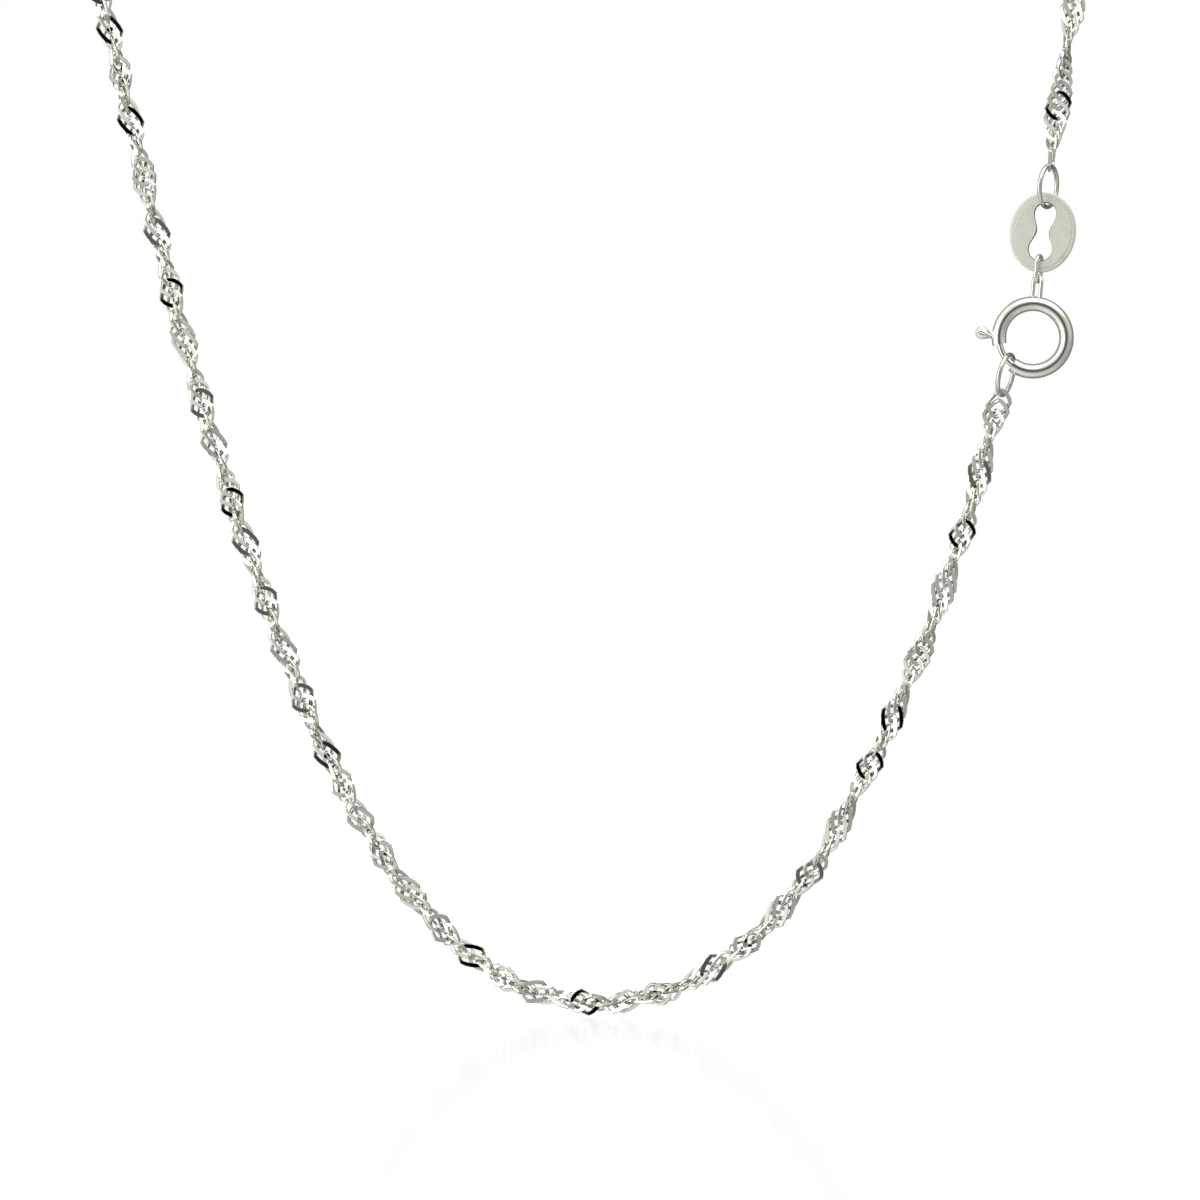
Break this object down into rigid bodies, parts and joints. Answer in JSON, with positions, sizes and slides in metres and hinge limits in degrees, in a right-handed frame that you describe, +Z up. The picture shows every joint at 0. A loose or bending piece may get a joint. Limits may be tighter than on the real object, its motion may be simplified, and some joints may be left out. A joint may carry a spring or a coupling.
{
  "type": "singapore chain necklace",
  "caption": "Fine twisted curb chain worn round the neck, closed in front by a spring ring on a small oval tag.",
  "frame": {"origin": "the nape, where the back of the chain lies on the neck", "axes": "+Z up, -Y to the wearer's front, +X to the side with the clasp"},
  "size_m": [0.0991, 0.0941, 0.1266],
  "materials": {
    "cut_silver": "diamond-cut polished silver",
    "wire_silver": "polished silver wire",
    "tag_silver": "tumbled silver plate",
    "clasp_silver": "polished silver tube"
  },
  "bodies": {
    "necklace": {"chain": "cut_silver", "end_ring_lower": "wire_silver", "end_ring_upper": "wire_silver", "tag": "tag_silver", "tag_link": "wire_silver", "clasp_ring": "clasp_silver"},
    "bolt": {"clasp_bolt": "clasp_silver"}
  },
  "joints": [
    {"name": "bolt_draw", "type": "hinge", "parent": "necklace", "child": "bolt", "pos_m": [0.0264, -0.092, -0.0847], "axis": [0, 1, 0], "range_deg": [0, 45], "stiffness_Nm_per_rad": 0.0004, "springref_deg": -17.19}
  ]
}
